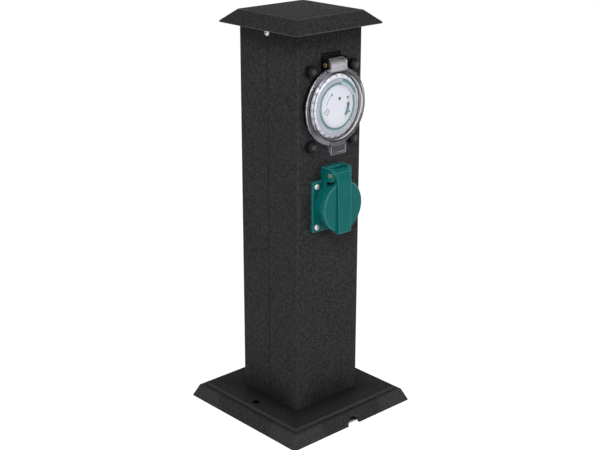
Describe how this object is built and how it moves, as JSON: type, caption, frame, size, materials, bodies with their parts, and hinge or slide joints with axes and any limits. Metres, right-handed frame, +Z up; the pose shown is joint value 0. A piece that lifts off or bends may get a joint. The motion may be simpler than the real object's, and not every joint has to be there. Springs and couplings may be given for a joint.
{
  "type": "garden socket post",
  "caption": "Square black garden power post on a bevelled foot, with a hipped cap, a clock timer under a clear hinged lid and a socket outlet under a sprung lid.",
  "frame": {"origin": "centre of the underside of the base", "axes": "+Z up, the face with the timer and the socket looks along -Y, +X to the right of someone facing it"},
  "size_m": [0.159, 0.159, 0.4],
  "materials": {
    "powder_black": "fine-grained black powder coat",
    "zinc_steel": "zinc plated",
    "bright_screws": "bright plated",
    "black_rubber": "soft matt",
    "black_plastic": "smooth satin black",
    "black_bolts": "black oxide with a smooth domed top",
    "brass_metal": "drawn brass",
    "dial_white": "smooth white",
    "dial_green": "smooth green",
    "tripper_grey": "smooth grey",
    "clear_plastic": "clear moulded plastic",
    "teal_plastic": "moulded teal",
    "brown_wire": "wire sleeve",
    "blue_wire": "wire sleeve",
    "earth_wire": "wire sleeve"
  },
  "bodies": {
    "post": {"base_tray": "powder_black", "foot_plate": "powder_black", "post_tube": "powder_black", "seam_strip": "powder_black", "top_cap": "powder_black", "base_screws": "zinc_steel", "base_nuts": "zinc_steel", "timer_nuts": "zinc_steel", "socket_nuts": "zinc_steel", "wall_studs": "zinc_steel", "stud_nuts": "zinc_steel", "timer_motor": "zinc_steel", "spindle": "zinc_steel", "socket_lid_spring": "zinc_steel", "cap_screws": "bright_screws", "socket_screws": "bright_screws", "timer_gasket": "black_rubber", "lid_seal": "black_rubber", "socket_gasket": "black_rubber", "timer_frame": "black_plastic", "timer_case": "black_plastic", "timer_cover": "black_plastic", "switch_block": "black_plastic", "timer_bolts": "black_bolts", "timer_terminals": "brass_metal", "timer_lid_pin": "brass_metal", "contact_tubes": "brass_metal", "earth_contacts": "brass_metal", "socket_lid_pin": "brass_metal", "face_disc": "dial_white", "terminal_block": "dial_white", "socket_body": "teal_plastic", "socket_insert": "teal_plastic", "live_wires": "brown_wire", "neutral_wires": "blue_wire", "earth_wires": "earth_wire"},
    "timer_lid": {"timer_lid": "clear_plastic"},
    "socket_lid": {"socket_lid": "teal_plastic", "socket_lid_seal": "black_rubber"},
    "dial": {"dial": "dial_white", "dial_track": "dial_green", "trippers_off": "tripper_grey", "trippers_on": "tripper_grey"},
    "tripper": {"tripper_slide": "tripper_grey"},
    "pinion": {"drive_pinion": "dial_white"},
    "override": {"override_lever": "dial_green"}
  },
  "joints": [
    {"name": "socket_lid_hinge", "type": "hinge", "parent": "post", "child": "socket_lid", "pos_m": [0, -0.0538, 0.253], "axis": [-1, 0, 0], "range_deg": [0, 115], "stiffness_Nm_per_rad": 0.01, "springref_deg": -45.84},
    {"name": "timer_lid_hinge", "type": "hinge", "parent": "post", "child": "timer_lid", "pos_m": [0, -0.0468, 0.3559], "axis": [-1, 0, 0], "range_deg": [0, 115]},
    {"name": "dial_turn", "type": "hinge", "parent": "post", "child": "dial", "pos_m": [0, -0.046, 0.3165], "axis": [0, -1, 0], "continuous": true},
    {"name": "pinion_turn", "type": "hinge", "parent": "post", "child": "pinion", "pos_m": [-0.01598, -0.041, 0.30052], "axis": [0, -1, 0], "continuous": true},
    {"name": "tripper_set", "type": "slide", "parent": "dial", "child": "tripper", "axis": [-0.2271, 0, -0.9739], "range_m": [0, 0.0021]},
    {"name": "override_turn", "type": "hinge", "parent": "post", "child": "override", "pos_m": [0, -0.05, 0.3165], "axis": [0, -1, 0], "range_deg": [-8, 9]}
  ],
  "couplings": [
    {"joint": "pinion_turn", "follows": "dial_turn", "ratio": -8}
  ]
}
